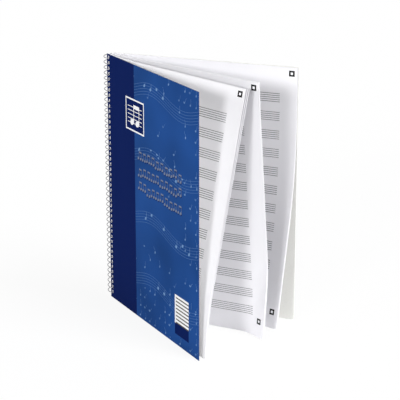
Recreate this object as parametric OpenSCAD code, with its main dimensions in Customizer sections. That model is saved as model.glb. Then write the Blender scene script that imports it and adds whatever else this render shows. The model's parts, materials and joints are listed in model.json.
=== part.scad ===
// Spiral-bound music writing pad, standing on its lower edges with its leaves fanned open.
// The leaves hang on one wire coil. Every leaf turns about the coil's upright axis.

/* [Leaves] */
// Height of every leaf, along the coil
leaf_h = 297; // [200:1:330]
// Width of every leaf, from its bound edge to its free edge
leaf_w = 225; // [150:1:250]
// Thickness of one sheet of stave paper
sheet_t = 0.11; // [0.08:0.01:0.14]
// Air between neighbouring sheets of one bundle
sheet_gap = 0.02; // [0.01:0.01:0.04]
// Sheets in the front bundle
front_sheets = 16; // [2:1:18]
// Sheets in the middle bundle
middle_sheets = 17; // [2:1:18]
// Sheets in the rear bundle
rear_sheets = 17; // [2:1:18]
// Thickness of the printed front cover
cover_t = 0.45; // [0.3:0.05:0.8]
// Thickness of the grey back board
board_t = 1.2; // [0.8:0.1:2]

/* [Coil] */
// Diameter of the wire
wire_d = 0.9; // [0.7:0.1:1.1]
// Rise of the coil in one turn
coil_pitch = 6.35; // [6:0.05:8]
// Room between the stacked bound edges and the middle of the wire
coil_room = 2.6; // [2.2:0.1:4]
// How far the cut ends of the wire are turned inwards
hook_len = 1.3; // [0.9:0.1:1.4]

/* [Punching] */
// Diameter of the punched holes
hole_d = 4.5; // [4.4:0.1:4.8]
// Distance from the middle of a hole to the bound edge
hole_margin = 4.5; // [3.6:0.1:5]
// Least distance from the middle of a hole to the upper or lower edge
end_margin = 3.8; // [3.2:0.1:6]
// Width of the flat strip that the binding holds, before any bend
bind_w = 9; // [8:0.5:14]

/* [Fan] */
// Clear gap between neighbouring groups of leaves, in the coil
group_gap = 0.3; // [0.3:0.1:0.6]
// Angle from the back board forward to the rear bundle
rear_angle = 1; // [0.8:0.1:6]
// Angle from the rear bundle forward to the middle bundle
middle_angle = 21; // [17:0.5:40]
// Angle from the middle bundle forward to the front bundle
front_angle = 16.45; // [15.5:0.05:40]
// Angle from the front bundle forward to the front cover
cover_angle = 1.75; // [1.3:0.05:40]
// How far the middle bundle has slipped outwards on the wire
middle_slip = 0.7; // [0:0.1:0.8]

/* [Turning] */
// How far the rear bundle and all in front of it can open further
rear_open = 28; // [0:1:28]
// How far the middle bundle and all in front of it can open further
middle_open = 28; // [0:1:28]
// How far the front bundle and the cover can open further
front_open = 28; // [0:1:28]
// How far the cover alone can open further
cover_open = 76; // [0:1:80]

/* [Front bundle bend] */
// Width of the curved band that runs from the bound edge's top to the free edge's foot
front_bend_run = 48; // [20:1:80]
// Angle by which the upper free corner of the first page leans back
front_bend_turn = 20; // [5:1:21]
// Packs into which the bundle parts along its free edge
front_packs = 3; // [1:1:4]
// Angle by which each pack leans back further than the one before it
front_pack_turn = 0.85; // [0:0.05:1]

/* [Middle bundle bend] */
// Distance from the bound edge to the bend, along the lower edge
middle_bend_foot = 91; // [60:1:140]
// Distance from the bound edge to the bend, along the upper edge
middle_bend_head = 207; // [160:1:230]
// Width of the curved band
middle_bend_run = 31; // [15:1:60]
// Angle by which the lower free corner leans back
middle_bend_turn = 16.5; // [2:0.5:20]
// Distance from the start of the bend to the start of the curled corner
corner_curl_start = 86; // [70:1:110]
// Width of the curled corner's band
corner_curl_run = 18; // [10:1:40]
// Angle by which the corner curls forward again
corner_curl_turn = 28; // [0:1:40]

/* [Rear bundle bend] */
// Distance from the bound edge to the bend, along the lower edge
rear_bend_foot = 57; // [40:1:120]
// Distance from the bound edge to the bend's line where it would meet the upper edge
rear_bend_head = 254; // [200:1:300]
// Width of the curved band
rear_bend_run = 74; // [30:1:90]
// Angle by which the lower free corner leans forward
rear_bend_turn = 22.5; // [2:0.5:26]

/* [Hidden] */
$fn = 32;
// Groups of leaves, front to back
GROUP_NAMES = ["cover", "front", "middle", "rear", "board"];
function group(name) = search([name], GROUP_NAMES)[0];
GROUPS = [for (name = GROUP_NAMES) group(name)];
COVER = group("cover");
FRONT = group("front");
MIDDLE = group("middle");
REAR = group("rear");
BOARD = group("board");

// Every curved band is made of this many straight creases
creases_per_band = 8;
// Rings of the coil's tube in one turn, and sides of the tube
coil_rings = 8;
wire_sides = 6;
// World angle at which the wire starts and ends, behind the back board
seam_angle = 90;
// Clip on the two corners of a bent sheet where its ruling lines begin and end
corner_clip = 0.4;
// Length by which a cutting tool passes the face that it cuts
cut_over = 0.5;

function sum(list, count) = count <= 0 ? 0 : list[count - 1] + sum(list, count - 1);

// Stack of the groups across the coil, front to back
group_count = [1, front_sheets, middle_sheets, rear_sheets, 1];
leaf_t = [cover_t, sheet_t, sheet_t, sheet_t, board_t];
group_t = [for (g = GROUPS) group_count[g] * leaf_t[g] + (group_count[g] - 1) * sheet_gap];
stack_t = sum(group_t, len(GROUPS)) + (len(GROUPS) - 1) * group_gap;
group_front = [for (g = GROUPS) -stack_t / 2 + sum(group_t, g) + g * group_gap];
group_mid = [for (g = GROUPS) group_front[g] + group_t[g] / 2];
function leaf_mid(g, i) = group_front[g] + leaf_t[g] / 2 + i * (leaf_t[g] + sheet_gap);

// Directions of the groups, and the distance from the coil's axis to their bound edges
step_angle = [cover_angle, front_angle, middle_angle, rear_angle, 0];
function turn_of(g) = g == BOARD ? 0 : step_angle[g] + turn_of(g + 1);
coil_r = stack_t / 2 + coil_room;
slip = [0, 0, middle_slip, 0, 0];
bound_edge = [for (g = GROUPS) sqrt(pow(coil_r, 2) - pow(group_mid[g], 2)) - hole_margin + slip[g]];

// Each row of holes is centred on the wire at the middle of its leaf's swing
step_open = [cover_open, front_open, middle_open, rear_open, 0];
function swing_of(g) = g == BOARD ? 0 : step_open[g] + swing_of(g + 1);
function hole_angle(g) = asin(group_mid[g] / coil_r) - turn_of(g) - swing_of(g) / 2;
row_rise = [for (g = GROUPS) coil_pitch * (seam_angle - hole_angle(g)) / 360];
row_spread = row_rise[COVER] - row_rise[BOARD];
coil_turns = 1 + floor((leaf_h - 2 * end_margin - row_spread) / coil_pitch);
wire_start_z = (leaf_h - coil_pitch * (coil_turns - 1) - row_rise[COVER] - row_rise[BOARD]) / 2;
function hole_z(g, k) = wire_start_z + row_rise[g] + k * coil_pitch;

// The coil's corner radius, at which the straight lengths of its tube lie about its circle
ring_r = 2 * coil_r / (1 + cos(180 / coil_rings));
ring_count = coil_turns * coil_rings;
function wire_point(angle, radius, z) = [radius * cos(angle), radius * sin(angle), z];
function coil_point(i) =
    wire_point(seam_angle - 360 * i / coil_rings, ring_r, wire_start_z + coil_pitch * i / coil_rings);
wire_path = concat(
    [wire_point(seam_angle, ring_r - hook_len, wire_start_z)],
    [for (i = [0 : ring_count]) coil_point(i)],
    [wire_point(seam_angle, ring_r - hook_len, wire_start_z + coil_pitch * coil_turns)]);

// Least clear gap between the coil's turns, measured on the middle line of its wire
coil_gap = min([for (i = [0 : ring_count - coil_rings])
    for (j = [i + coil_rings / 2 : min(i + 2 * coil_rings, ring_count)])
        norm(coil_point(i) - coil_point(j))]) - wire_d;
echo(coil_gap_mm = coil_gap);

// Bends: each is [foot, head, bands], a band is [start, run, turn] square to the bend's line
bend = [
    [leaf_w, bind_w, []],
    [leaf_w, bind_w, [[0, front_bend_run, front_bend_turn]]],
    [middle_bend_foot, middle_bend_head,
        [[0, middle_bend_run, middle_bend_turn],
         [corner_curl_start, corner_curl_run, -corner_curl_turn]]],
    [rear_bend_foot, rear_bend_head, [[0, rear_bend_run, -rear_bend_turn]]],
    [leaf_w, bind_w, []]];

// Unit vector in the flat sheet, square to the bend's line and pointing to the free edge
function bend_normal(g) = let (lean = bend[g][1] - bend[g][0])
    [leaf_h, -lean] / norm([leaf_h, lean]);
// Distance of a flat point from the bend's line
function bend_pos(g, p) = (p - [bend[g][0], 0]) * bend_normal(g);

// Further lean of a sheet's pack, by its place in the group
function pack_lean(g, i) = g == FRONT ? front_pack_turn * floor(i * front_packs / front_sheets) : 0;
// Creases of a sheet as [position, turn], in order across it
function creases(g, i) = [for (band = bend[g][2])
    for (j = [0 : creases_per_band - 1])
        [band[0] + band[1] * (j + 0.5) / creases_per_band, (band[2] + pack_lean(g, i)) / creases_per_band]];

// Heading of the folded profile at s, halfway through a crease that lies at s
function heading(list, s) = sum([for (c = list)
    c[1] * (abs(c[0] - s) < 0.001 ? 0.5 : c[0] < s ? 1 : 0)], len(list));
// Folded profile at s: distance along the flat part's plane, and depth behind it
function folded(list, s) = len(list) == 0 || s <= list[0][0] ? [s, 0] : let (last = len(list) - 1,
    heads = [for (k = [0 : last]) sum([for (c = list) c[1]], k + 1)],
    runs = [for (k = [0 : last]) max(0, (k < last ? min(s, list[k + 1][0]) : s) - list[k][0])])
    [list[0][0] + sum([for (k = [0 : last]) runs[k] * cos(heads[k])], last + 1),
     sum([for (k = [0 : last]) runs[k] * sin(heads[k])], last + 1)];

// Point of a bent leaf in its own upright frame: outwards, backwards and up
function bent_point(g, list, p, offset) = let (normal = bend_normal(g),
    s = bend_pos(g, p),
    profile = folded(list, s),
    head = heading(list, s),
    shift = profile[0] - offset * sin(head) - s,
    flat = p + shift * normal)
    [flat[0], profile[1] + offset * cos(head), max(0, flat[1])];

// Ends of the ruling line at s, where it meets the sheet's lower and upper outline
function ruling_u(g, s, v) = bend[g][0] + (s - v * bend_normal(g)[1]) / bend_normal(g)[0];
function ruling_v(g, s, u) = (s - (u - bend[g][0]) * bend_normal(g)[0]) / bend_normal(g)[1];
function ruling_end(g, s, v) = let (u = ruling_u(g, s, v))
    u < 0 ? [0, ruling_v(g, s, 0)] : u > leaf_w ? [leaf_w, ruling_v(g, s, leaf_w)] : [u, v];

function sorted(list) = len(list) < 2 ? list : let (pivot = list[floor(len(list) / 2)])
    concat(sorted([for (x = list) if (x < pivot) x]), [pivot],
           sorted([for (x = list) if (x > pivot) x]));

// Rulings that cut a sheet into flat strips: its four corners and its creases
function rulings(g) = let (
    corners = sorted([for (u = [0, leaf_w]) for (v = [0, leaf_h]) bend_pos(g, [u, v])]),
    low = corners[0] + corner_clip,
    high = corners[len(corners) - 1] - corner_clip,
    inner = [for (s = concat(corners, [for (c = creases(g, 0)) c[0]])) if (s > low && s < high) s])
    concat([low], sorted(inner), [high]);

// Rings of four points along a bent sheet: lower and upper end, front and back face
function sheet_rings(g, i) = let (list = creases(g, i), offset = leaf_mid(g, i) - group_mid[g],
    front = offset - sheet_t / 2, back = offset + sheet_t / 2)
    [for (s = rulings(g)) let (low = ruling_end(g, s, 0), high = ruling_end(g, s, leaf_h))
        [bent_point(g, list, low, front), bent_point(g, list, high, front),
         bent_point(g, list, high, back), bent_point(g, list, low, back)]];

// Footprint of the whole fan, which the part's origin halves
function seen_from_axis(g, p) = let (a = -turn_of(g), x = bound_edge[g] + p[0], y = group_mid[g] + p[1])
    [x * cos(a) - y * sin(a), x * sin(a) + y * cos(a)];
function outer_points(g) = g == COVER || g == BOARD
    ? [for (x = [0, leaf_w]) for (y = [-1, 1]) [x, y * leaf_t[g] / 2]]
    : [for (i = [0, group_count[g] - 1]) for (ring = sheet_rings(g, i)) for (p = ring) p];
coil_outer = ring_r + wire_d / 2;
footprint = concat([[-coil_outer, -coil_outer], [coil_outer, coil_outer]],
    [for (g = GROUPS) for (p = outer_points(g)) seen_from_axis(g, p)]);
foot_x = [for (p = footprint) p[0]];
foot_y = [for (p = footprint) p[1]];
axis_x = -(min(foot_x) + max(foot_x)) / 2;
axis_y = -(min(foot_y) + max(foot_y)) / 2;
echo(coil_axis_mm = [axis_x, axis_y], coil_radius_mm = coil_r, turns = coil_turns);

sheet_group = concat([for (i = [1 : front_sheets]) FRONT], [for (i = [1 : middle_sheets]) MIDDLE],
    [for (i = [1 : rear_sheets]) REAR]);
sheet_place = concat([for (i = [0 : front_sheets - 1]) i], [for (i = [0 : middle_sheets - 1]) i],
    [for (i = [0 : rear_sheets - 1]) i]);
sheet_total = len(sheet_group);
function sheet_name(i) = str("sheet_", i < 9 ? "0" : "", i + 1);

// Sets a leaf, drawn outwards along X from its bound edge, on the coil at its group's angle
module on_coil(g) {
    translate([axis_x, axis_y, 0])
        rotate([0, 0, -turn_of(g)])
            translate([bound_edge[g], group_mid[g], 0])
                children();
}

// Row of punched holes through a leaf of the group, at the leaf's own depth
module holes(g, offset) {
    for (k = [0 : coil_turns - 1])
        translate([hole_margin, offset - leaf_t[g] / 2 - cut_over, hole_z(g, k)])
            rotate([-90, 0, 0])
                cylinder(d = hole_d, h = leaf_t[g] + 2 * cut_over);
}

// Flat stiff leaf with its row of holes
module stiff_leaf(g) {
    on_coil(g)
        difference() {
            translate([0, -leaf_t[g] / 2, 0])
                cube([leaf_w, leaf_t[g], leaf_h]);
            holes(g, 0);
        }
}

module front_cover() {
    color([0.13, 0.25, 0.55])
        stiff_leaf(COVER);
}

module back_board() {
    color([0.88, 0.88, 0.86])
        stiff_leaf(BOARD);
}

// Solid through a row of rings that have as many points each, closed at both ends
module through_rings(rings) {
    sides = len(rings[0]);
    last = (len(rings) - 1) * sides;
    walls = [for (r = [0 : sides : last - sides]) for (j = [0 : sides - 1])
        let (a = r + j, b = r + (j + 1) % sides)
        for (face = [[a, b, b + sides], [a, b + sides, a + sides]]) face];
    ends = [for (j = [1 : sides - 2]) for (face = [[0, j + 1, j], [last, last + j, last + j + 1]]) face];
    polyhedron(points = [for (ring = rings) for (p = ring) p], faces = concat(walls, ends));
}

// One sheet of stave paper, bent along straight ruling lines as paper bends
module sheet(i) {
    g = sheet_group[i];
    place = sheet_place[i];
    color([0.97, 0.97, 0.96])
        on_coil(g)
            difference() {
                through_rings(sheet_rings(g, place));
                holes(g, leaf_mid(g, place) - group_mid[g]);
            }
}

// Unit vector
function unit(v) = v / norm(v);

// Continuous wire coil with its cut ends hooked inwards
module spiral_wire() {
    last = len(wire_path) - 1;
    color([0.78, 0.78, 0.8])
        translate([axis_x, axis_y, 0])
            through_rings([for (i = [0 : last])
                let (along = unit(wire_path[min(i + 1, last)] - wire_path[max(i - 1, 0)]),
                     out = unit(cross(along, [0, 0, 1])),
                     up = cross(out, along))
                [for (j = [0 : wire_sides - 1]) let (a = 360 * j / wire_sides)
                    wire_path[i] + wire_d / 2 * (cos(a) * out + sin(a) * up)]]);
}

front_cover();
back_board();
spiral_wire();
for (i = [0 : sheet_total - 1]) sheet(i);
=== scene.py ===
"""Looks of a spiral-bound music writing pad that stands fanned open, built around its CAD frame.

Sizes are in millimetres and angles in degrees, unless a name says otherwise. Meshes are in metres.
"""

import json
import logging
import math
from dataclasses import dataclass, replace
from enum import Enum
from functools import partial
from typing import ClassVar, Optional, Union

import bpy
import numpy as np
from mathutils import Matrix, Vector

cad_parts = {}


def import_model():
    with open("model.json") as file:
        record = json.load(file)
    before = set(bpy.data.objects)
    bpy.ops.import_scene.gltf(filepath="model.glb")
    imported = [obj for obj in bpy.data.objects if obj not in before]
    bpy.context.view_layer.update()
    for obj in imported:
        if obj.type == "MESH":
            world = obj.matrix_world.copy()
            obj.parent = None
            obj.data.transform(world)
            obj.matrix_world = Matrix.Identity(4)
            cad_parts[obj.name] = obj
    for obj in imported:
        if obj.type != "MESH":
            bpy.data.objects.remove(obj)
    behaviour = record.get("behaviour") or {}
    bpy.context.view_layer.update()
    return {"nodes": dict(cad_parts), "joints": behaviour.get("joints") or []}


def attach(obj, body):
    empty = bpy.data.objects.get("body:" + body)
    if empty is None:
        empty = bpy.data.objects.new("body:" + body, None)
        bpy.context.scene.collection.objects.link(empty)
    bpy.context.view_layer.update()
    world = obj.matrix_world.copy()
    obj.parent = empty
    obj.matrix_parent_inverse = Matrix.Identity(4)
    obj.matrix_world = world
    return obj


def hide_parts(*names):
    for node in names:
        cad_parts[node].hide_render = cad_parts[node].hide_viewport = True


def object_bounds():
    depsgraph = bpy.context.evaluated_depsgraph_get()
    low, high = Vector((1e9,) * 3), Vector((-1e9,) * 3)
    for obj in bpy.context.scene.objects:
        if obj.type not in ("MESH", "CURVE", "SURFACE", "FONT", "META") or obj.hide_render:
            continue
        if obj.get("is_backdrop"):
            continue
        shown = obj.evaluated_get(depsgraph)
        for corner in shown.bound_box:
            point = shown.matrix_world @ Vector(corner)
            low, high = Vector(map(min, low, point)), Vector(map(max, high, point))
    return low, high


LOG = logging.getLogger("music_pad")
MM = 0.001
UV_MAP = "flat"
NOISE_MID = 0.5
Socket = bpy.types.NodeSocket
Material = bpy.types.Material
Term = Union[float, tuple, "Value"]
Colour = tuple[float, float, float, float]
# Low and high limit of a rectangle across, and its low and high limit up
Spot = tuple[float, float, float, float]


class Group(Enum):
    """Groups of leaves, from the front of the pad to its back."""

    COVER = 0
    FRONT = 1
    MIDDLE = 2
    REAR = 3
    BOARD = 4


BODY_OF = {
    Group.COVER: "cover",
    Group.FRONT: "front_leaves",
    Group.MIDDLE: "middle_leaves",
    Group.REAR: "rear_leaves",
    Group.BOARD: "back",
}


class Face(Enum):
    """Material slots of a leaf's solid."""

    FRONT = 0
    BACK = 1
    RIM = 2


# Geometry of the leaves and the coil


@dataclass(frozen=True)
class Band:
    """A curved band of a bent sheet, measured square to the bend's line.

    Attributes:
        start: Distance from the bend's line to the band.
        run: Width of the band.
        turn: Angle that the sheet turns in it, positive towards the back board.
    """

    start: float
    run: float
    turn: float


@dataclass(frozen=True)
class Bend:
    """A bend of paper along straight ruling lines, which stretches nothing.

    Attributes:
        foot: Where the bend's line meets the lower edge, from the bound edge.
        head: Where it meets the upper edge.
        bands: The curved bands, in order.
        samples: Number of points on the bend's profile.
        reach: How far the profile runs to both sides of the bend's line.
    """

    foot: float
    head: float
    bands: tuple[Band, ...] = ()
    samples: int = 4000
    reach: float = 400.0

    def leaned(self, further: float) -> "Bend":
        """The same bend with every band turned further."""
        return replace(self, bands=tuple(replace(band, turn=band.turn + further) for band in self.bands))

    def bend_points(self, flat: np.ndarray, offset: float, height: float) -> np.ndarray:
        """Carries flat points of a leaf to the bent leaf.

        A point's distance s from the bend's line gives a heading, the sum of the bands' turns so
        far. The integrals of the heading's cosine and sine give how far the point lies along the
        flat part's plane and how deep behind it. The offset is laid off along the normal.

        Args:
            flat: Points as rows of distance from the bound edge and height.
            offset: Distance behind the middle of the group.
            height: Height of the leaf.

        Returns:
            Rows of outward, backward and upward distance.
        """
        normal = np.array([height, self.foot - self.head])
        normal /= np.linalg.norm(normal)
        s = (flat - np.array([self.foot, 0.0])) @ normal
        line = np.linspace(-self.reach, self.reach, self.samples)
        heading = np.zeros_like(line)
        for band in self.bands:
            heading += math.radians(band.turn) * np.clip((line - band.start) / band.run, 0.0, 1.0)
        step = line[1] - line[0]
        mid = (heading[1:] + heading[:-1]) / 2
        along = line[0] + np.append(0.0, np.cumsum(np.cos(mid) * step))
        depth = np.append(0.0, np.cumsum(np.sin(mid) * step))
        turn = np.interp(s, line, heading)
        shift = np.interp(s, line, along) - offset * np.sin(turn) - s
        moved = flat + shift[:, None] * normal
        back = np.interp(s, line, depth) + offset * np.cos(turn)
        return np.stack([moved[:, 0], back, np.maximum(0.0, moved[:, 1])], axis=1)


@dataclass(frozen=True)
class Binding:
    """Stack of the leaves in the coil, and the coil's own sizes.

    Attributes:
        opens: How far each group can open further, by its joint, front to back.
        axis: Where the coil's axis stands.
        strip_w: Width of the flat strip that the binding holds.
        step_angles: Angle from each group back to the next, front to back.
        slips: How far each group has slipped outwards on the wire.
        coil_room: Room from the stack to the middle of the wire.
        seam_angle: Angle at which the wire starts.
        hole_margin: Distance from the bound edge to the middle of a hole.
        end_margin: Least distance from a leaf's end to the middle of a hole.
    """

    opens: tuple[float, ...]
    axis: tuple[float, float]
    leaf_h: float = 297.0
    leaf_w: float = 225.0
    strip_w: float = 9.0
    sheet_t: float = 0.11
    sheet_gap: float = 0.02
    cover_t: float = 0.45
    board_t: float = 1.2
    sheet_counts: tuple[int, int, int] = (16, 17, 17)
    group_gap: float = 0.3
    step_angles: tuple[float, ...] = (1.75, 16.45, 21.0, 1.0, 0.0)
    slips: tuple[float, ...] = (0.0, 0.0, 0.7, 0.0, 0.0)
    wire_d: float = 0.9
    pitch: float = 6.35
    coil_room: float = 2.6
    seam_angle: float = 90.0
    hole_d: float = 4.5
    hole_margin: float = 4.5
    end_margin: float = 3.8

    def leaf_t(self, group: Group) -> float:
        """Thickness of one leaf of the group."""
        return {Group.COVER: self.cover_t, Group.BOARD: self.board_t}.get(group, self.sheet_t)

    def count(self, group: Group) -> int:
        """Number of leaves in the group."""
        return (1, *self.sheet_counts, 1)[group.value]

    def group_t(self, group: Group) -> float:
        """Thickness of the whole group."""
        return self.count(group) * self.leaf_t(group) + (self.count(group) - 1) * self.sheet_gap

    @property
    def stack_t(self) -> float:
        """Thickness of all groups with the gaps between them."""
        return sum(self.group_t(g) for g in Group) + (len(Group) - 1) * self.group_gap

    def group_mid(self, group: Group) -> float:
        """Depth of the group's middle from the coil's axis."""
        ahead = sum(self.group_t(g) + self.group_gap for g in Group if g.value < group.value)
        return ahead + self.group_t(group) / 2 - self.stack_t / 2

    def leaf_offset(self, group: Group, place: int) -> float:
        """Depth of one leaf's middle from the group's middle."""
        step = self.leaf_t(group) + self.sheet_gap
        return self.leaf_t(group) / 2 + place * step - self.group_t(group) / 2

    @property
    def coil_r(self) -> float:
        """Radius of the middle of the wire."""
        return self.stack_t / 2 + self.coil_room

    def turn(self, group: Group) -> float:
        """Angle from the back board forward to the group."""
        return sum(self.step_angles[group.value:])

    def bound_edge(self, group: Group) -> float:
        """Distance from the coil's axis to the group's bound edge."""
        reach = math.sqrt(self.coil_r**2 - self.group_mid(group) ** 2)
        return reach - self.hole_margin + self.slips[group.value]

    def hole_angle(self, group: Group) -> float:
        """Angle at which the wire passes the group's holes, at the middle of the group's swing."""
        seat = math.degrees(math.asin(self.group_mid(group) / self.coil_r))
        return seat - self.turn(group) - sum(self.opens[group.value:]) / 2

    def row_rise(self, group: Group) -> float:
        """Height of the wire's passage through the group's holes above the wire's start."""
        return self.pitch * (self.seam_angle - self.hole_angle(group)) / 360

    @property
    def turns(self) -> int:
        """Number of turns of the coil."""
        spread = self.row_rise(Group.COVER) - self.row_rise(Group.BOARD)
        return 1 + math.floor((self.leaf_h - 2 * self.end_margin - spread) / self.pitch)

    @property
    def wire_start(self) -> float:
        """Height of the wire's lower end."""
        rises = self.row_rise(Group.COVER) + self.row_rise(Group.BOARD)
        return (self.leaf_h - self.pitch * (self.turns - 1) - rises) / 2

    def hole_heights(self, group: Group) -> np.ndarray:
        """Heights of the group's holes."""
        return self.wire_start + self.row_rise(group) + self.pitch * np.arange(self.turns)

    def on_coil(self, group: Group, local: np.ndarray) -> np.ndarray:
        """Turns points of a leaf about the coil's axis to the group's place.

        Args:
            group: The leaf's group.
            local: Rows of outward, backward and upward distance.

        Returns:
            Points in the part's frame, in metres.
        """
        angle = math.radians(-self.turn(group))
        x = local[:, 0] + self.bound_edge(group)
        y = local[:, 1] + self.group_mid(group)
        placed = [x * math.cos(angle) - y * math.sin(angle) + self.axis[0],
                  x * math.sin(angle) + y * math.cos(angle) + self.axis[1],
                  local[:, 2]]
        return np.stack(placed, axis=1) * MM


@dataclass
class FlatLeaf:
    """Flat layout of a punched leaf: a grid of cells, and a fan of triangles round each hole.

    Attributes:
        points: Rows of distance from the bound edge and height.
        quads: The grid's cells.
        fans: Triangles of the punched cells.
        rim_from: Where each edge of the outline and the holes starts, leaf on its left.
        rim_to: Where each of these edges ends.
    """

    points: np.ndarray
    quads: np.ndarray
    fans: np.ndarray
    rim_from: np.ndarray
    rim_to: np.ndarray

    @classmethod
    def punched(cls, binding: Binding, group: Group, columns: int, sides: int = 24) -> "FlatLeaf":
        """Lays out a leaf of the group.

        Rows of the grid lie halfway between the holes, so that each hole has a cell of its own in
        the bound strip. A quarter of a hole's circle is joined to the nearest corner of its cell.

        Args:
            binding: Sizes of the pad.
            group: The leaf's group.
            columns: Cells from the bound strip to the free edge.
            sides: Sides of a hole, a multiple of four.

        Returns:
            The flat layout.
        """
        heights = binding.hole_heights(group)
        edges = np.append(heights - binding.pitch / 2, heights[-1] + binding.pitch / 2)
        rows = np.concatenate(([0.0], edges, [binding.leaf_h]))
        cols = np.append(0.0, np.linspace(binding.strip_w, binding.leaf_w, columns + 1))
        u, v = np.meshgrid(cols, rows)
        ids = np.arange(u.size).reshape(u.shape)
        cells = np.stack([ids[:-1, :-1], ids[:-1, 1:], ids[1:, 1:], ids[1:, :-1]], axis=-1)
        plain = np.ones(cells.shape[:2], bool)
        plain[1:-1, 0] = False

        angle = 2 * np.pi * np.arange(sides) / sides
        hole_r = binding.hole_d / 2
        ring_u = np.tile(binding.hole_margin + hole_r * np.cos(angle), (len(heights), 1))
        ring_v = heights[:, None] + hole_r * np.sin(angle)
        rings = u.size + np.arange(ring_v.size).reshape(ring_v.shape)
        corners = np.stack([ids[2:-1, 1], ids[2:-1, 0], ids[1:-2, 0], ids[1:-2, 1]], axis=-1)
        quarter = np.arange(sides) * 4 // sides
        after = np.roll(rings, -1, axis=1)
        arcs = np.stack([rings, corners[:, quarter], after], axis=-1).reshape(-1, 3)
        poles = rings[:, (np.arange(4) + 1) * sides // 4 % sides]
        gores = np.stack([poles, corners, np.roll(corners, -1, axis=1)], axis=-1).reshape(-1, 3)

        outline = np.concatenate([ids[0], ids[1:, -1], ids[-1, -2::-1], ids[-2:0:-1, 0]])
        return cls(
            points=np.concatenate([np.stack([u.ravel(), v.ravel()], axis=1),
                                   np.stack([ring_u.ravel(), ring_v.ravel()], axis=1)]),
            quads=cells[plain],
            fans=np.concatenate([arcs, gores]),
            rim_from=np.concatenate([outline, after.ravel()]),
            rim_to=np.concatenate([np.roll(outline, -1), rings.ravel()]),
        )

    def solid(self, name: str, front: np.ndarray, back: np.ndarray, uv: np.ndarray) -> bpy.types.Object:
        """Closes a front and a back surface with a rim into one mesh object.

        Args:
            name: Name of the piece.
            front: The layout's points on the front face, in metres.
            back: The same points on the back face.
            uv: The layout's points as a share of the leaf's width and height.

        Returns:
            The new object, with a material index from Face on every polygon.
        """
        count = len(front)
        rim = np.stack([self.rim_from, self.rim_from + count, self.rim_to + count, self.rim_to], axis=1)
        parts = [self.quads, self.fans, self.quads[:, ::-1] + count, self.fans[:, ::-1] + count, rim]
        sides = [Face.FRONT, Face.FRONT, Face.BACK, Face.BACK, Face.RIM]
        mesh = bpy.data.meshes.new(name)
        mesh.from_pydata(np.concatenate([front, back]), [], [f for part in parts for f in part.tolist()])
        index = np.concatenate([np.full(len(part), side.value) for part, side in zip(parts, sides)])
        mesh.polygons.foreach_set("material_index", index.astype(np.int32))
        return finished(name, mesh, np.concatenate([uv, uv]))


def finished(name: str, mesh: bpy.types.Mesh, uv: np.ndarray, sharp: float = 35.0) -> bpy.types.Object:
    """Gives a mesh its UV map and smooth shading, and links an object that holds it.

    Args:
        name: Name of the piece.
        mesh: The mesh, with its faces in place.
        uv: One row per vertex.
        sharp: Angle above which an edge stays sharp.

    Returns:
        The linked object, at the origin.
    """
    corner = np.empty(len(mesh.loops), np.int32)
    mesh.loops.foreach_get("vertex_index", corner)
    layer = mesh.uv_layers.new(name=UV_MAP)
    layer.data.foreach_set("uv", uv[corner].astype(np.float32).ravel())
    mesh.polygons.foreach_set("use_smooth", np.ones(len(mesh.polygons), bool))
    mesh.set_sharp_from_angle(angle=math.radians(sharp))
    mesh.update()
    piece = bpy.data.objects.new(name, mesh)
    bpy.context.scene.collection.objects.link(piece)
    return piece


# Shader arithmetic and shared node groups


@dataclass(frozen=True)
class Value:
    """An output of a node, with arithmetic that adds Math nodes to its graph."""

    graph: "Graph"
    socket: Socket

    def __add__(self, other: Term) -> "Value":
        """This value and another term."""
        return self.graph.math("ADD", self, other)

    def __sub__(self, other: Term) -> "Value":
        """This value less another term."""
        return self.graph.math("SUBTRACT", self, other)

    def __rsub__(self, other: float) -> "Value":
        """A number less this value."""
        return self.graph.math("SUBTRACT", other, self)

    def __mul__(self, other: Term) -> "Value":
        """This value times another term."""
        return self.graph.math("MULTIPLY", self, other)

    def __truediv__(self, other: Term) -> "Value":
        """This value over another term."""
        return self.graph.math("DIVIDE", self, other)

    def __mod__(self, step: Term) -> "Value":
        """What is left of this value above whole steps."""
        return self.graph.math("FLOORED_MODULO", self, step)

    def __lt__(self, limit: Term) -> "Value":
        """Mask of where this value is under a limit."""
        return self.graph.math("LESS_THAN", self, limit)

    def __gt__(self, limit: Term) -> "Value":
        """Mask of where this value is over a limit."""
        return self.graph.math("GREATER_THAN", self, limit)

    def __and__(self, other: "Value") -> "Value":
        """Mask of the surface that lies in both masks."""
        return self.graph.math("MULTIPLY", self, other)

    def __or__(self, other: "Value") -> "Value":
        """Mask of the surface that lies in either mask."""
        return self.graph.math("MAXIMUM", self, other)

    def within(self, low: float, high: float) -> "Value":
        """Mask of where this value lies between two limits."""
        return self.graph.math("COMPARE", self, (low + high) / 2, (high - low) / 2)


def box(x: Value, y: Value, spot: Spot) -> Value:
    """Mask of a rectangle.

    Args:
        x: Distance across.
        y: Distance up.
        spot: Limits of the rectangle.

    Returns:
        The mask.
    """
    return x.within(spot[0], spot[1]) & y.within(spot[2], spot[3])


def turned(x: Value, y: Value, cosine: Term, sine: Term) -> tuple[Value, Value]:
    """A place on axes that are turned about the origin.

    Args:
        x: Distance across.
        y: Distance up.
        cosine: Cosine of the axes' angle, times a scale where the place is scaled too.
        sine: Sine of that angle, times the same scale.

    Returns:
        Distances along the two turned axes.
    """
    return x * cosine + y * sine, y * cosine - x * sine


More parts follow.
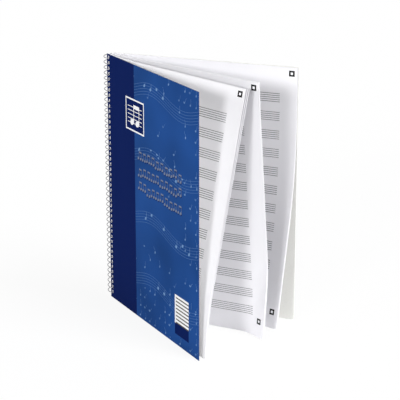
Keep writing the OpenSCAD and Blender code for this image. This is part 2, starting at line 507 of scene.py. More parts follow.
class Graph:
    """Adds nodes to one node tree and joins them.

    Attributes:
        MIX_IN: Indices of a Mix node's share and of its two colours.
        MIX_OUT: Index of its mixed colour.
    """

    MIX_IN: ClassVar[tuple[int, int, int]] = (0, 6, 7)
    MIX_OUT: ClassVar[int] = 2

    def __init__(self, tree: bpy.types.NodeTree) -> None:
        """Keeps the tree."""
        self.tree = tree

    def join(self, term: Term, socket: Socket) -> None:
        """Links an output to a socket, or sets the socket's value.

        Args:
            term: The output or the value.
            socket: The socket that takes it.
        """
        if isinstance(term, Value):
            self.tree.links.new(term.socket, socket)
        else:
            socket.default_value = term

    def node(self, kind: str, terms: Optional[dict] = None, **settings: object) -> bpy.types.Node:
        """Adds a node.

        Args:
            kind: Type of the node.
            terms: What its inputs take, by index or name.
            settings: Its properties.

        Returns:
            The new node.
        """
        made = self.tree.nodes.new(kind)
        for name, value in settings.items():
            setattr(made, name, value)
        for key, term in (terms or {}).items():
            self.join(term, made.inputs[key])
        return made

    def output(self, kind: str, terms: Optional[dict] = None, key: Union[int, str] = 0,
               **settings: object) -> Value:
        """One output of a new node, by its index or name."""
        return Value(self, self.node(kind, terms, **settings).outputs[key])

    def outputs(self, node: bpy.types.Node) -> dict[str, Value]:
        """All outputs of a node by name."""
        return {socket.name: Value(self, socket) for socket in node.outputs}

    def use(self, group: bpy.types.NodeTree, **terms: Term) -> dict[str, Value]:
        """Outputs of a shared node group, placed with its own values."""
        return self.outputs(self.node("ShaderNodeGroup", terms, node_tree=group))

    def math(self, operation: str, *terms: Term) -> Value:
        """Value of a Math node."""
        return self.output("ShaderNodeMath", dict(enumerate(terms)), operation=operation)

    def mix(self, share: Term, first: Term, second: Term) -> Value:
        """Mixes two colours."""
        terms = dict(zip(self.MIX_IN, (share, first, second)))
        return self.output("ShaderNodeMix", terms, self.MIX_OUT, data_type="RGBA")

    def scaled(self, colour: Term, tone: Value) -> Value:
        """Multiplies a colour by a tone."""
        vector = colour[:3] if isinstance(colour, tuple) else colour
        return self.output("ShaderNodeVectorMath", {0: vector, "Scale": tone}, operation="SCALE")

    def noise(self, place: Value, scale: Term, detail: float = 2.0) -> Value:
        """Value of a noise texture."""
        return self.output("ShaderNodeTexNoise", {"Vector": place, "Scale": scale, "Detail": detail}, "Fac")

    def bump(self, height: Value, strength: float, depth_m: float) -> Value:
        """Normal of a relief."""
        return self.output("ShaderNodeBump", {"Height": height, "Strength": strength, "Distance": depth_m})

    def object_place(self) -> Value:
        """Object coordinates, in metres."""
        return self.output("ShaderNodeTexCoord", key="Object")

    def flat_place(self) -> Value:
        """The piece's own UV coordinates."""
        return self.output("ShaderNodeUVMap", uv_map=UV_MAP)

    def background_rays(self) -> Value:
        """Mask of the rays that show the background: straight to the camera, reflected or let through."""
        ray = self.outputs(self.node("ShaderNodeLightPath"))
        return ray["Is Camera Ray"] | ray["Is Glossy Ray"] | ray["Is Transmission Ray"]

    def cells(self, x: Value, y: Value, wide: float, high: float) -> tuple[Value, Value, list[Value]]:
        """Parts a surface into a grid of cells with random values.

        Args:
            x: Distance across.
            y: Distance up or down.
            wide: Width of a cell.
            high: Height of a cell.

        Returns:
            Distances across and up from the middle of the cell, and its three random values.
        """
        seats = {0: self.math("FLOOR", x / wide), 1: self.math("FLOOR", y / high)}
        seat = self.output("ShaderNodeCombineXYZ", seats)
        chance = self.output("ShaderNodeTexWhiteNoise", {"Vector": seat}, "Color", noise_dimensions="2D")
        parts = self.outputs(self.node("ShaderNodeSeparateColor", {0: chance}))
        return x % wide - wide / 2, y % high - high / 2, list(parts.values())


class GroupGraph(Graph):
    """Graph of a new node group.

    Attributes:
        given: Its inputs by name.
        out: Its outputs by name.
    """

    def __init__(self, name: str, inputs: dict[str, float], outputs: tuple[str, ...]) -> None:
        """Starts the group.

        Args:
            name: Name of the group.
            inputs: Names and default values of its inputs.
            outputs: Names of its outputs.
        """
        super().__init__(bpy.data.node_groups.new(name, "ShaderNodeTree"))
        face = self.tree.interface
        for key, value in inputs.items():
            face.new_socket(key, in_out="INPUT", socket_type="NodeSocketFloat").default_value = value
        for key in outputs:
            face.new_socket(key, in_out="OUTPUT", socket_type="NodeSocketFloat")
        self.given = self.outputs(self.node("NodeGroupInput"))
        self.out = self.node("NodeGroupOutput").inputs


@dataclass(frozen=True)
class SharedEffects:
    """Node groups that more than one finish uses."""

    fibre: bpy.types.NodeTree
    stave: bpy.types.NodeTree
    wear: bpy.types.NodeTree
    CLOUD_SCALE: ClassVar[float] = 28.0
    STAVE_SPACES: ClassVar[int] = 4
    RUB_SCALE: ClassVar[float] = 420.0
    RUB_DETAIL: ClassVar[float] = 4.0
    RUB_SPREAD: ClassVar[float] = 1.6
    RUB_CUT: ClassVar[float] = 0.5

    @classmethod
    def build(cls) -> "SharedEffects":
        """Builds every group once."""
        return cls(fibre=cls.fibre_group(), stave=cls.stave_group(), wear=cls.wear_group())

    @classmethod
    def fibre_group(cls) -> bpy.types.NodeTree:
        """Fibres and clouds of paper: a tone about 1 and a height about the middle of the noise.

        Returns:
            The group.
        """
        graph = GroupGraph("paper_fibre", {"Fineness": 900.0, "Contrast": 0.03}, ("Tone", "Height"))
        place = graph.object_place()
        fine = graph.noise(place, graph.given["Fineness"])
        swing = fine + graph.noise(place, cls.CLOUD_SCALE) - 2 * NOISE_MID
        graph.join(swing * graph.given["Contrast"] + 1.0, graph.out["Tone"])
        graph.join(fine, graph.out["Height"])
        return graph.tree

    @classmethod
    def stave_group(cls) -> bpy.types.NodeTree:
        """Five-line staves: a mask of the lines by the distance below the first one.

        Returns:
            The group.
        """
        sizes = {"Down": 0.0, "Pitch": 22.0, "Space": 2.3, "Line": 0.3, "Count": 12.0}
        graph = GroupGraph("five_line_staves", sizes, ("Mask",))
        given = graph.given
        down = given["Line"] / 2 + given["Down"]
        tall = given["Space"] * cls.STAVE_SPACES + given["Line"]
        local = down % given["Pitch"]
        line = local % given["Space"] < given["Line"]
        page = (down > 0.0) & (down < given["Count"] * given["Pitch"])
        graph.join(line & (local < tall) & page, graph.out["Mask"])
        return graph.tree

    @classmethod
    def wear_group(cls) -> bpy.types.NodeTree:
        """Rubbed edges of card: a mask that breaks up within a reach of the outline.

        Returns:
            The group.
        """
        sizes = {"Across": 0.0, "Up": 0.0, "Width": 225.0, "Height": 297.0, "Reach": 0.6}
        graph = GroupGraph("edge_wear", sizes, ("Mask",))
        given = graph.given
        least = partial(graph.math, "MINIMUM")
        side = least(given["Across"], given["Width"] - given["Across"])
        level = least(given["Up"], given["Height"] - given["Up"])
        near = least(side, level) / given["Reach"]
        broken = graph.noise(graph.object_place(), cls.RUB_SCALE, cls.RUB_DETAIL)
        graph.join(near < broken * cls.RUB_SPREAD - cls.RUB_CUT, graph.out["Mask"])
        return graph.tree


class MaterialGraph(Graph):
    """Graph of a new material with one Principled shader."""

    def __init__(self, name: str) -> None:
        """Starts the material.

        Args:
            name: Name of the material.
        """
        self.material = bpy.data.materials.new(name)
        self.material.use_nodes = True
        super().__init__(self.material.node_tree)

    def shaded(self, terms: dict[str, Term]) -> Material:
        """The material, with its shader's inputs joined or set.

        Args:
            terms: What the shader's inputs take, by name.

        Returns:
            The finished material.
        """
        shader = self.tree.nodes["Principled BSDF"]
        for name, term in terms.items():
            self.join(term, shader.inputs[name])
        return self.material


@dataclass(frozen=True)
class Surface:
    """Feel of paper or card.

    Attributes:
        fineness: Scale of the fibres.
        contrast: How far fibres and clouds change the tone.
        relief: Strength of the fibres' relief.
    """

    fineness: float
    contrast: float
    relief: float
    rough: float
    specular: float = 0.15
    depth_m: float = 0.0001


class LeafGraph(MaterialGraph):
    """Graph of a leaf's material.

    Attributes:
        u: Distance from the bound edge.
        v: Height on the leaf.
        fibre: Tone and height of the surface's fibres.
    """

    def __init__(self, name: str, effects: SharedEffects, binding: Binding, surface: Surface) -> None:
        """Starts the material with the leaf's place and its fibres.

        Args:
            name: Name of the material.
            effects: The shared node groups.
            binding: Sizes of the pad.
            surface: Feel of the leaf.
        """
        super().__init__(name)
        self.effects = effects
        self.surface = surface
        self.width = binding.leaf_w
        self.height = binding.leaf_h
        share = self.outputs(self.node("ShaderNodeSeparateXYZ", {0: self.flat_place()}))
        self.u = share["X"] * self.width
        self.v = share["Y"] * self.height
        self.fibre = self.use(effects.fibre, Fineness=surface.fineness, Contrast=surface.contrast)

    def area(self, spot: Spot) -> Value:
        """Mask of a rectangle on the leaf."""
        return box(self.u, self.v, spot)

    def staves(self, down: Value, pitch: float, space: float, line: float, count: int) -> Value:
        """Mask of staves, by the distance below the first line."""
        sizes = {"Down": down, "Pitch": pitch, "Space": space, "Line": line, "Count": count}
        return self.use(self.effects.stave, **sizes)["Mask"]

    def rubbed(self, reach: float) -> Value:
        """Mask of the rubbed edges."""
        sizes = {"Across": self.u, "Up": self.v, "Width": self.width, "Height": self.height}
        return self.use(self.effects.wear, **sizes, Reach=reach)["Mask"]

    def dressed(self, colour: Value, rough: Optional[Value] = None) -> Material:
        """The material in a colour, with the surface's feel.

        Args:
            colour: The colour.
            rough: A roughness that takes the place of the surface's.

        Returns:
            The finished material.
        """
        return self.shaded({
            "Base Color": colour,
            "Normal": self.bump(self.fibre["Height"], self.surface.relief, self.surface.depth_m),
            "Roughness": self.surface.rough if rough is None else rough,
            "Specular IOR Level": self.surface.specular,
        })


# Finishes


@dataclass(frozen=True)
class StavePaper:
    """White writing paper printed with staves, corner marks and a fine tear-off perforation.

    Attributes:
        top_mark: Distance of the upper mark's middle from the free edge and the upper edge.
        low_mark: Distance of the lower mark's middle from the free edge and the lower edge.
        tear_cut: Length of a cut of the perforation.
    """

    name: str
    foot_mark: bool = True
    white: Colour = (0.925, 0.92, 0.95, 1.0)
    ink: Colour = (0.045, 0.045, 0.05, 1.0)
    black: Colour = (0.012, 0.012, 0.012, 1.0)
    first_stave: float = 30.1
    stave_pitch: float = 21.25
    stave_count: int = 12
    stave_from: float = 24.0
    free_margin: float = 20.0
    line_space: float = 2.3
    line_w: float = 0.58
    line_tone: float = 0.95
    mark_size: float = 6.6
    mark_inset: float = 2.7
    top_mark: tuple[float, float] = (6.4, 6.3)
    low_mark: tuple[float, float] = (8.8, 18.5)
    tear_line: float = 15.0
    tear_w: float = 0.16
    tear_pitch: float = 1.2
    tear_cut: float = 0.72
    tear_tone: float = 0.5
    surface: Surface = Surface(1100.0, 0.02, 0.08, 0.8)

    def make(self, effects: SharedEffects, binding: Binding) -> Material:
        """Builds the material.

        Args:
            effects: The shared node groups.
            binding: Sizes of the pad.

        Returns:
            The material.
        """
        page = LeafGraph(self.name, effects, binding, self.surface)
        down = page.height - self.first_stave - page.v
        staves = page.staves(down, self.stave_pitch, self.line_space, self.line_w, self.stave_count)
        lines = staves & page.u.within(self.stave_from, page.width - self.free_margin)
        half = self.tear_w / 2
        row = page.u.within(self.tear_line - half, self.tear_line + half)
        tear = row & (page.v % self.tear_pitch < self.tear_cut)
        colour = page.scaled(self.white, page.fibre["Tone"])
        colour = page.mix(tear * self.tear_tone, colour, self.ink)
        colour = page.mix(lines * self.line_tone, colour, self.ink)
        return page.dressed(page.mix(self.marks(page), colour, self.black))

    def marks(self, page: LeafGraph) -> Value:
        """Square marks near the free corners.

        Args:
            page: The paper's graph.

        Returns:
            A mask of the marks.
        """
        mask = self.mark(page, page.width - self.top_mark[0], page.height - self.top_mark[1])
        if self.foot_mark:
            mask = mask | self.mark(page, page.width - self.low_mark[0], self.low_mark[1])
        return mask

    def mark(self, page: LeafGraph, x: float, y: float) -> Value:
        """A square frame.

        Args:
            page: The paper's graph.
            x: Distance of its middle from the bound edge.
            y: Height of its middle.

        Returns:
            A mask of the frame.
        """
        halves = (self.mark_size / 2, self.mark_inset / 2)
        outer, inner = (page.area((x - half, x + half, y - half, y + half)) for half in halves)
        return outer & (1.0 - inner)


class Ink(Enum):
    """Inks of the cover."""

    NAVY = (0.0022, 0.0118, 0.091, 1.0)
    BLUE = (0.0148, 0.0665, 0.2485, 1.0)
    PALE_BLUE = (0.21, 0.37, 0.63, 1.0)
    WHITE = (0.9, 0.9, 0.9, 1.0)
    GREY = (0.17, 0.2, 0.28, 1.0)
    BROWN = (0.10, 0.09, 0.075, 1.0)


Layers = list[tuple[Value, Ink]]


@dataclass(frozen=True)
class NoteShape:
    """Shape of a printed note, in half widths of its head.

    Attributes:
        head_high: Half height of the head.
        head_lean: Angle of the head.
        stem: Near and far side of the stem.
        pair_apart: Distance of a joined note from the middle of its pair.
        pair_stem: Height of a pair's stems.
        beam: Lower side of a pair's beam.
    """

    head_high: float = 0.7
    head_lean: float = 25.0
    stem: tuple[float, float] = (0.68, 0.92)
    pair_apart: float = 1.35
    pair_stem: float = 4.0
    beam: float = 3.12

    def single(self, x: Value, y: Value, head: float, stem: float) -> Value:
        """One note: a leaning ellipse about the origin, and a narrow box that rises beside it.

        Args:
            x: Distance across.
            y: Distance up.
            head: Half width of the head.
            stem: Height of the stem.

        Returns:
            A mask of the note.
        """
        lean = math.radians(self.head_lean)
        p, q = turned(x, y, math.cos(lean) / head, math.sin(lean) / head)
        q = q / self.head_high
        blob = p * p + q * q < 1.0
        return blob | box(x, y, (self.stem[0] * head, self.stem[1] * head, 0.0, stem))

    def pair(self, x: Value, y: Value, head: float) -> Value:
        """Two notes under one beam, with the origin between their heads.

        Args:
            x: Distance across.
            y: Distance up.
            head: Half width of a head.

        Returns:
            A mask of the notes.
        """
        apart = self.pair_apart * head
        stem = self.pair_stem * head
        left, right = (self.single(x + way * apart, y, head, stem) for way in (1.0, -1.0))
        beam = (self.stem[0] * head - apart, self.stem[1] * head + apart, self.beam * head, stem)
        return left | right | box(x, y, beam)


NOTE = NoteShape()


@dataclass(frozen=True)
class FaintMusic:
    """Faint music on the cover's field: waving staves with notes along them, and strewn notes.

    Attributes:
        note_share: Share of the places along a stave that hold a note.
        note_seats: Heights at which a note can lie on a stave.
        strewn_share: Share of the strewn notes' places that hold one, at the free edge and the foot.
        strewn_fall: How quickly that share falls off towards the upper bound corner.
        strewn_drop: How far a strewn note's head lies below the middle of its place.
        strewn_tone: Least strength of a strewn note.
    """

    top: float = 276.0
    pitch: float = 74.0
    space: float = 3.2
    line_w: float = 0.4
    line_tone: float = 0.45
    rows: int = 4
    wave_high: float = 7.0
    wave_long: float = 150.0
    note_step: float = 15.0
    note_share: float = 0.45
    note_seats: int = 8
    note_head: float = 2.3
    note_stem: float = 11.0
    strewn_step: float = 12.5
    strewn_share: float = 0.85
    strewn_fall: float = 4.0
    strewn_lean_rad: float = 0.8
    strewn_drop: float = 2.5
    strewn_head: float = 1.6
    strewn_stem: float = 7.0
    strewn_tone: float = 0.4

    def waving(self, page: LeafGraph) -> Value:
        """Staves that rise and fall by a sine of the distance across, with notes along them.

        Args:
            page: The cover's graph.

        Returns:
            A mask of the staves and notes.
        """
        swell = page.math("SINE", page.u * (2 * math.pi / self.wave_long))
        down = self.top - (swell * self.wave_high + page.v)
        lines = page.staves(down, self.pitch, self.space, self.line_w, self.rows) * self.line_tone
        x, y, chance = page.cells(page.u, down, self.note_step, self.pitch)
        step = page.math("FLOOR", chance[1] * self.note_seats)
        seat = step * (self.space / 2) - self.pitch / 2
        note = NOTE.single(x, seat - y, self.note_head, self.note_stem)
        return lines | (note & (chance[0] < self.note_share))

    def strewn(self, page: LeafGraph) -> Value:
        """Small leaning notes, strewn more thickly towards the free edge and the foot.

        Args:
            page: The cover's graph.

        Returns:
            A mask of the notes.
        """
        x, y, chance = page.cells(page.u, page.v, self.strewn_step, self.strewn_step)
        lean = chance[1] * (2 * self.strewn_lean_rad) - self.strewn_lean_rad
        p, q = turned(x, y, page.math("COSINE", lean), page.math("SINE", lean))
        note = NOTE.single(p, q + self.strewn_drop, self.strewn_head, self.strewn_stem)
        edge = page.math("MAXIMUM", page.u / page.width, 1.0 - page.v / page.height)
        there = chance[0] < page.math("POWER", edge, self.strewn_fall) * self.strewn_share
        return (note & there) * (chance[2] * (1.0 - self.strewn_tone) + self.strewn_tone)


@dataclass(frozen=True)
class CoverLabel:
    """Navy label with a white rim, and a pair of joined notes on one stave.

    Attributes:
        inset: Distance from the label's side to the stave.
        drop: How far the heads lie below the label's middle.
    """

    spot: Spot = (49.0, 95.5, 220.0, 257.5)
    rim: float = 1.8
    inset: float = 5.4
    space: float = 4.6
    line_w: float = 0.8
    head: float = 5.0
    drop: float = 8.0

    def layers(self, page: LeafGraph) -> Layers:
        """Prints the label.

        Args:
            page: The cover's graph.

        Returns:
            Masks with their inks, in the order of printing.
        """
        low, high, foot, top = self.spot
        rim = self.rim
        middle = (foot + top) / 2
        down = middle + SharedEffects.STAVE_SPACES / 2 * self.space - page.v
        stave = page.staves(down, top - foot, self.space, self.line_w, 1)
        lines = stave & page.u.within(low + self.inset, high - self.inset)
        notes = NOTE.pair(page.u - (low + high) / 2, page.v - (middle - self.drop), self.head)
        return [
            (page.area(self.spot), Ink.WHITE),
            (page.area((low + rim, high - rim, foot + rim, top - rim)), Ink.NAVY),
            (lines | notes, Ink.WHITE),
        ]


@dataclass(frozen=True)
class TitleRows:
    """Rows of grey notes with a painted dark shadow beside them, where a title goes.

    Attributes:
        step: Width of a pair of notes with its space.
        seats: Heights at which a pair can lie, a millimetre apart.
        drop: How far the heads lie below the middle of the row, at most.
        shade: How far the painted shadow is shifted outwards and down.
    """

    spot: Spot = (78.0, 186.0, 150.0, 204.0)
    rows: int = 3
    step: float = 10.8
    seats: int = 4
    drop: float = 5.0
    head: float = 2.1
    shade: float = 0.8

    def layers(self, page: LeafGraph) -> Layers:
        """Prints the rows.

        Args:
            page: The cover's graph.

        Returns:
            Masks with their inks, in the order of printing.
        """
        low, _, foot, top = self.spot
        x, y, chance = page.cells(page.u - low, page.v - foot, self.step, (top - foot) / self.rows)
        y = y + self.drop - page.math("FLOOR", chance[0] * self.seats)
        place = page.area(self.spot)
        return [
            # The navy copy of the notes, shifted outwards and down, is a painted shadow under the grey ones
            (place & NOTE.pair(x - self.shade, y + self.shade, self.head), Ink.NAVY),
            (place & NOTE.pair(x, y, self.head), Ink.GREY),
        ]


@dataclass(frozen=True)
class StripePanel:
    """Small panel of stripes above a navy foot.

    Attributes:
        foot: Height of the navy foot's lower side.
        margin: White margin beside the stripes.
        share: Share of a stripe's step that is dark.
    """

    spot: Spot = (168.5, 201.3, 25.3, 58.7)
    foot: float = 12.3
    stripes: int = 8
    margin: float = 2.6
    share: float = 0.36

    def layers(self, page: LeafGraph) -> Layers:
        """Prints the panel.

        Args:
            page: The cover's graph.

        Returns:
            Masks with their inks, in the order of printing.
        """
        low, high, base, top = self.spot
        step = (top - base) / self.stripes
        stripe = (page.v - base) % step < step * self.share
        return [
            (page.area(self.spot), Ink.WHITE),
            (page.area((low + self.margin, high, base, top)) & stripe, Ink.BROWN),
            (page.area((low, high, self.foot, base)), Ink.NAVY),
        ]


@dataclass(frozen=True)
class CoverPrint:
    """Laminated card, printed navy beside the binding and mid blue with faint music beyond it."""

    band_w: float = 71.0
    cloud_scale: float = 14.0
    cloud_detail: float = 1.0
    cloud_swing: float = 0.8
    music: FaintMusic = FaintMusic()
    music_tone: float = 0.7
    designs: tuple[CoverLabel, TitleRows, StripePanel] = (CoverLabel(), TitleRows(), StripePanel())
    rub_reach: float = 0.4
    rub_tone: float = 0.15
    surface: Surface = Surface(500.0, 0.06, 0.05, 0.38, 0.005)
    rough_swing: float = 0.12

    def make(self, effects: SharedEffects, binding: Binding) -> Material:
        """Builds the material.

        Args:
            effects: The shared node groups.
            binding: Sizes of the pad.

        Returns:
            The material.
        """
        page = LeafGraph("cover_print", effects, binding, self.surface)
        cloud = page.noise(page.object_place(), self.cloud_scale, self.cloud_detail) - NOISE_MID
        music = self.music.waving(page) | self.music.strewn(page)
        colour = page.scaled(Ink.BLUE.value, cloud * self.cloud_swing + 1.0)
        colour = page.mix(music * self.music_tone, colour, Ink.PALE_BLUE.value)
        colour = page.mix(page.u > self.band_w, Ink.NAVY.value, colour)
        colour = page.scaled(colour, page.fibre["Tone"])
        for design in self.designs:
            for mask, ink in design.layers(page):
                colour = page.mix(mask, colour, ink.value)
        colour = page.mix(page.rubbed(self.rub_reach) * self.rub_tone, colour, Ink.WHITE.value)
        return page.dressed(colour, page.fibre["Height"] * self.rough_swing + self.surface.rough)


@dataclass(frozen=True)
class PlainCard:
    """Uncoated card or board with fibres, and with rubbed edges in the worn colour."""

    name: str
    colour: Colour
    surface: Surface
    worn: Colour = (0.94, 0.94, 0.92, 1.0)
    rub_reach: float = 0.8
    rub_tone: float = 0.4

    def make(self, effects: SharedEffects, binding: Binding) -> Material:
        """Builds the material.

        Args:
            effects: The shared node groups.
            binding: Sizes of the pad.

        Returns:
            The material.
        """
        page = LeafGraph(self.name, effects, binding, self.surface)
        colour = page.scaled(self.colour, page.fibre["Tone"])
        rubbed = page.rubbed(self.rub_reach) * self.rub_tone
        return page.dressed(page.mix(rubbed, colour, self.worn))


@dataclass(frozen=True)
class DrawnWire:
    """Bright drawn steel wire with fine lines along it.

    Attributes:
        dull_share: How far clouds take the steel towards the dull tone.
        streaks: Scale of the fine lines, round the wire and along it.
    """

    steel: Colour = (0.3, 0.3, 0.312, 1.0)
    dull: Colour = (0.2, 0.2, 0.21, 1.0)
    dull_share: float = 0.5
    cloud_scale: float = 180.0
    streaks: tuple[float, float, float] = (30.0, 60.0, 1.0)
    rough: float = 0.16
    rough_swing: float = 0.2
    relief: float = 0.06
    depth_m: float = 0.00005

    def make(self) -> Material:
        """Builds the material.

        Returns:
            The material.
        """
        graph = MaterialGraph("drawn_wire")
        spread = graph.output("ShaderNodeMapping", {"Vector": graph.flat_place(), "Scale": self.streaks})
        streak = graph.noise(spread, 1.0)
        cloud = graph.noise(graph.object_place(), self.cloud_scale)
        return graph.shaded({
            "Base Color": graph.mix(cloud * self.dull_share, self.steel, self.dull),
            "Metallic": 1.0,
            "Roughness": streak * self.rough_swing + self.rough,
            "Normal": graph.bump(streak, self.relief, self.depth_m),
        })


# Sub-assemblies


@dataclass
class Leaves:
    """One group of leaves: a bundle of sheets, the cover or the back board.

    Attributes:
        group: Which group it is.
        nodes: The CAD nodes that it stands for, front to back.
        slot: The record's material slot; not used.
        materials: Front, back and rim finish.
        bend: How its leaves are bent.
        packs: Packs into which the group parts along its free edge.
        pack_turn: Angle by which each pack leans back further than the one before it.
        first_face: Finish of the very first face, where it differs.
        columns: Cells of a leaf's grid from the bound strip to the free edge.
    """

    binding: Binding
    group: Group
    nodes: list[str]
    slot: str
    materials: tuple[Material, Material, Material]
    bend: Bend = Bend(0.0, 0.0)
    packs: int = 1
    pack_turn: float = 0.0
    first_face: Optional[Material] = None
    columns: int = 72

    def build(self) -> list[bpy.types.Object]:
        """Builds every leaf of the group and sets it on its body.

        Returns:
            The new pieces.
        """
        flat = FlatLeaf.punched(self.binding, self.group, self.columns)
        uv = flat.points / (self.binding.leaf_w, self.binding.leaf_h)
        return [self.leaf(flat, uv, place, node) for place, node in enumerate(self.nodes)]

    def leaf(self, flat: FlatLeaf, uv: np.ndarray, place: int, node: str) -> bpy.types.Object:
        """Builds one leaf: its flat layout bent and set on the coil, on both of its faces.

        Args:
            flat: The group's flat layout.
            uv: The layout as a share of the leaf's width and height.
            place: The leaf's place in the group, from the front.
            node: The CAD node that it stands for.

        Returns:
            The new piece.
        """
        half = self.binding.leaf_t(self.group) / 2
        offset = self.binding.leaf_offset(self.group, place)
        bend = self.bend.leaned(self.pack_turn * (place * self.packs // len(self.nodes)))
        faces = [self.binding.on_coil(self.group, bend.bend_points(flat.points, at, self.binding.leaf_h))
                 for at in (offset - half, offset + half)]
        piece = flat.solid(f"{node}_dressed", *faces, uv)
        for material in self.materials:
            piece.data.materials.append(material)
        if place == 0 and self.first_face:
            piece.data.materials[Face.FRONT.value] = self.first_face
        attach(piece, BODY_OF[self.group])
        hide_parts(node)
        return piece


@dataclass
class WireCoil:
    """The wire that carries every leaf: a left-handed helix with hooked ends.

    Attributes:
        sides: Sides of the wire's circle.
        hook_r: Radius of the quarter circle at each end.
        blunt: Where a round end is cut flat, as a share of the wire's radius.
    """

    binding: Binding
    material: Material
    node: str = "spiral_wire"
    steps_per_turn: int = 40
    sides: int = 12
    hook_r: float = 1.0
    hook_steps: int = 8
    blunt: float = 0.9

    def path(self) -> np.ndarray:
        """Middle line of the wire.

        The helix falls in angle by a full turn as it rises by the pitch. At each end a quarter
        circle leaves it along its own direction and turns inwards to the axis.

        Returns:
            Points in the part's frame, in metres.
        """
        binding = self.binding
        turn = np.linspace(0.0, binding.turns, binding.turns * self.steps_per_turn + 1)
        angle = np.radians(binding.seam_angle) - 2 * np.pi * turn
        level = binding.wire_start + binding.pitch * turn
        radius = binding.coil_r
        helix = np.stack([radius * np.cos(angle), radius * np.sin(angle), level], axis=1)
        swing = np.linspace(0.0, np.pi / 2, self.hook_steps + 1)[1:, None]
        ends = []
        for end, ahead in ((helix[0], helix[0] - helix[1]), (helix[-1], helix[-1] - helix[-2])):
            along = ahead / np.linalg.norm(ahead)
            inward = -np.append(end[:2], 0.0) / radius
            ends.append(end + self.hook_r * (np.sin(swing) * along + (1 - np.cos(swing)) * inward))
        points = np.concatenate([ends[0][::-1], helix, ends[1]])
        return (points + np.append(binding.axis, 0.0)) * MM

    def tube(self) -> bpy.types.Object:
        """Carries the wire's circle along its middle line, which never runs straight up.

        A ring's point is the path's point plus the radius times the cosine of the angle along the
        horizontal normal and the sine along the other normal. The last rings shrink to round ends.

        Returns:
            The new object. Its UV runs round the wire and along it in metres.
        """
        path = self.path()
        radius = self.binding.wire_d / 2 * MM
        along = np.gradient(path, axis=0)
        along /= np.linalg.norm(along, axis=1, keepdims=True)
        out = np.cross(along, [0.0, 0.0, 1.0])
        out /= np.linalg.norm(out, axis=1, keepdims=True)
        rise = np.cross(out, along)
        run = np.append(0.0, np.cumsum(np.linalg.norm(np.diff(path, axis=0), axis=1)))
        to_end = np.minimum(run, run[-1] - run)
        girth = radius * np.sqrt(1 - np.clip(1 - to_end / radius, 0.0, self.blunt) ** 2)
        share, length = np.meshgrid(np.arange(self.sides) / self.sides, run)
        angle = 2 * np.pi * share[:, :, None]
        ring = np.cos(angle) * out[:, None] + np.sin(angle) * rise[:, None]
        points = path[:, None] + girth[:, None, None] * ring
        ids = np.arange(share.size).reshape(share.shape)
        after = np.roll(ids, -1, axis=1)
        walls = np.stack([ids[:-1], after[:-1], after[1:], ids[1:]], axis=-1).reshape(-1, 4)
        ends = [ids[0, ::-1].tolist(), ids[-1].tolist()]
        name = f"{self.node}_dressed"
        mesh = bpy.data.meshes.new(name)
        mesh.from_pydata(points.reshape(-1, 3), [], walls.tolist() + ends)
        return finished(name, mesh, np.stack([share.ravel(), length.ravel()], axis=1))

    def build(self) -> bpy.types.Object:
        """Builds the wire and sets it on the back board's body.

        Returns:
            The new piece.
        """
        piece = self.tube()
        piece.data.materials.append(self.material)
        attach(piece, BODY_OF[Group.BOARD])
        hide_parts(self.node)
        return piece


@dataclass
class Pad:
    """The whole pad: its leaves on its coil, each with its finish."""

    binding: Binding
    nodes: dict[str, bpy.types.Object]
    front_bend: Bend = Bend(225.0, 9.0, (Band(0.0, 48.0, 20.0),))
    front_packs: int = 3
    front_pack_turn: float = 0.85
    middle_bend: Bend = Bend(91.0, 207.0, (Band(0.0, 31.0, 16.5), Band(86.0, 18.0, -28.0)))
    rear_bend: Bend = Bend(57.0, 254.0, (Band(0.0, 74.0, -22.5),))
    board_grey: Colour = (0.93, 0.93, 0.895, 1.0)
    board_surface: Surface = Surface(450.0, 0.06, 0.15, 0.85)
    card_white: Colour = (0.9, 0.9, 0.89, 1.0)
    card_surface: Surface = Surface(700.0, 0.03, 0.15, 0.85)
    # Navy for the cover's cut edges and hole walls, whose card core is pale: painted shade that keeps the
    # holes and edges dark
    edge_painted_shade_blue: Colour = (0.03, 0.055, 0.17, 1.0)
    edge_surface: Surface = Surface(700.0, 0.1, 0.15, 0.85)

    def build(self) -> list[bpy.types.Object]:
        """Builds every piece.

        Returns:
            The new pieces.
        """
        kit = (SharedEffects.build(), self.binding)
        paper = StavePaper("stave_paper").make(*kit)
        first_page = StavePaper("first_page", foot_mark=False).make(*kit)
        cover = CoverPrint().make(*kit)
        inside = PlainCard("cover_inside", self.card_white, self.card_surface).make(*kit)
        # The cover's rim gets the navy painted shade; its worn colour is the same navy, so its edges show
        # no rubbing
        edge = PlainCard("cover_edge_painted_shade", self.edge_painted_shade_blue, self.edge_surface, self.edge_painted_shade_blue).make(*kit)
        board = PlainCard("grey_board", self.board_grey, self.board_surface).make(*kit)
        sheets = iter(sorted(name for name in self.nodes if name.startswith("sheet_")))
        front, middle, rear = ([next(sheets) for _ in range(self.binding.count(group))]
                               for group in (Group.FRONT, Group.MIDDLE, Group.REAR))
        bundle = partial(Leaves, self.binding, slot="paper", materials=(paper, paper, paper))
        groups = [
            Leaves(self.binding, Group.COVER, ["front_cover"], "cover_card", (cover, inside, edge)),
            Leaves(self.binding, Group.BOARD, ["back_board"], "grey_board", (board, board, board)),
            bundle(Group.FRONT, front, bend=self.front_bend, packs=self.front_packs,
                   pack_turn=self.front_pack_turn, first_face=first_page),
            bundle(Group.MIDDLE, middle, bend=self.middle_bend),
            bundle(Group.REAR, rear, bend=self.rear_bend),
        ]
        pieces = [piece for leaves in groups for piece in leaves.build()]
        return pieces + [WireCoil(self.binding, DrawnWire().make()).build()]


# Studio


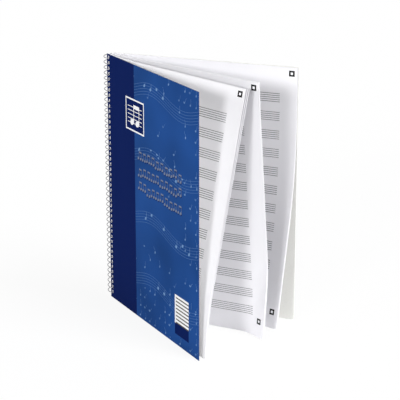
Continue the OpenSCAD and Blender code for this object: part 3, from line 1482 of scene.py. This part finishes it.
@dataclass(frozen=True)
class Lamp:
    """A far lamp.

    Attributes:
        strength: Light that falls on a face square to it.
        towards: Direction towards the lamp.
        spread: Angle that the lamp fills, which softens its shadows.
    """

    name: str
    strength: float
    towards: tuple[float, float, float]
    spread: float

    def build(self) -> None:
        """Adds the lamp."""
        lamp = bpy.data.lights.new(self.name, "SUN")
        lamp.energy = self.strength
        lamp.angle = math.radians(self.spread)
        light = bpy.data.objects.new(self.name, lamp)
        light.rotation_mode = "QUATERNION"
        light.rotation_quaternion = Vector(self.towards).to_track_quat("Z", "Y")
        bpy.context.scene.collection.objects.link(light)


@dataclass(frozen=True)
class Studio:
    """Plain pale floor, soft light and the camera at the photograph's angle.

    Attributes:
        camera_m: Place of the camera.
        focal_px: Focal length in pixels of an image of image_px.
        ambient: Strength of the world's light.
        lamps: The key lamp ahead, a wide lamp high on the right and a weak one towards the cover.
        floor_drop_m: How far the floor lies below the part.
        floor_colour: Its colour to the light that it sends back to the part.
        floor_seen: Its colour where it is seen, which carries the shadow.
        floor_lift: Its own light where it is seen, which brings it to white.
    """

    camera_m: tuple[float, float, float] = (0.61893, -1.47577, 0.64110)
    azimuth: float = 21.76
    elevation: float = 16.98
    focal_px: float = 1507.07
    image_px: float = 400.0
    sensor: float = 36.0
    clip_end_m: float = 100.0
    ambient: float = 0.23
    lamps: tuple[Lamp, ...] = (
        Lamp("key", 1.16, (-0.118, -0.959, 0.259), 14.0),
        Lamp("side", 2.75, (0.676, -0.207, 0.707), 30.0),
        Lamp("fill", 0.52, (-0.621, -0.74, 0.259), 14.0),
    )
    white: Colour = (1.0, 1.0, 1.0, 1.0)
    floor_half_m: float = 6.0
    floor_drop_m: float = 0.0001
    floor_colour: Colour = (0.9, 0.9, 0.9, 1.0)
    floor_seen: Colour = (0.09, 0.09, 0.09, 1.0)
    floor_lift: float = 0.91
    floor_rough: float = 0.9

    def build(self) -> None:
        """Builds the floor, the light and the camera."""
        self.floor()
        self.world()
        for lamp in self.lamps:
            lamp.build()
        self.camera()

    def floor(self) -> None:
        """Adds the floor, white to the camera and in reflections but for the object's shadow."""
        half = self.floor_half_m
        low = -self.floor_drop_m
        square = [(-half, -half, low), (half, -half, low), (half, half, low), (-half, half, low)]
        mesh = bpy.data.meshes.new("floor")
        mesh.from_pydata(square, [], [(0, 1, 2, 3)])
        floor = bpy.data.objects.new("floor", mesh)
        bpy.context.scene.collection.objects.link(floor)
        graph = MaterialGraph("floor_white")
        seen = graph.background_rays()
        mesh.materials.append(graph.shaded({
            "Base Color": graph.mix(seen, self.floor_colour, self.floor_seen),
            "Roughness": self.floor_rough,
            "Specular IOR Level": 0.0,
            "Emission Color": self.white,
            "Emission Strength": seen * self.floor_lift,
        }))
        floor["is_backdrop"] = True

    def world(self) -> None:
        """Lights the object evenly, and shows white to the camera and in reflections."""
        world = bpy.data.worlds.new("studio")
        world.use_nodes = True
        graph = Graph(world.node_tree)
        back = world.node_tree.nodes["Background"]
        graph.join(self.white, back.inputs["Color"])
        strength = graph.background_rays() * (1.0 - self.ambient) + self.ambient
        graph.join(strength, back.inputs["Strength"])
        bpy.context.scene.world = world

    def camera(self) -> None:
        """Adds the camera."""
        turn = math.radians(self.azimuth)
        tilt = math.radians(self.elevation)
        ahead = Vector((-math.sin(turn) * math.cos(tilt), math.cos(turn) * math.cos(tilt), -math.sin(tilt)))
        lens = bpy.data.cameras.new("camera")
        lens.sensor_width = self.sensor
        lens.lens = self.focal_px * self.sensor / self.image_px
        lens.clip_end = self.clip_end_m
        camera = bpy.data.objects.new("camera", lens)
        camera.location = self.camera_m
        camera.rotation_mode = "QUATERNION"
        camera.rotation_quaternion = ahead.to_track_quat("-Z", "Y")
        bpy.context.scene.collection.objects.link(camera)
        bpy.context.scene.camera = camera


def corners() -> list[list[float]]:
    """Reads the box of what is shown.

    Returns:
        Its lowest and highest corner, as plain lists of numbers.
    """
    return [list(corner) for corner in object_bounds()]


def main() -> None:
    """Loads the frame, dresses the pad and sets up the studio."""
    logging.basicConfig(level=logging.INFO, format="%(name)s: %(message)s")
    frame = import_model()
    joints = {joint["child"]: joint for joint in frame["joints"]}
    opens = tuple(joints[BODY_OF[g]]["range_deg"][1] if BODY_OF[g] in joints else 0.0 for g in Group)
    axis = joints[BODY_OF[Group.COVER]]["pos_m"]
    binding = Binding(opens=opens, axis=(axis[0] / MM, axis[1] / MM))
    for piece in Pad(binding, frame["nodes"]).build():
        LOG.info("%s: %d polygons", piece.name, len(piece.data.polygons))
    Studio().build()
    bpy.context.scene.view_settings.view_transform = "Standard"


if __name__ == "__main__":
    main()
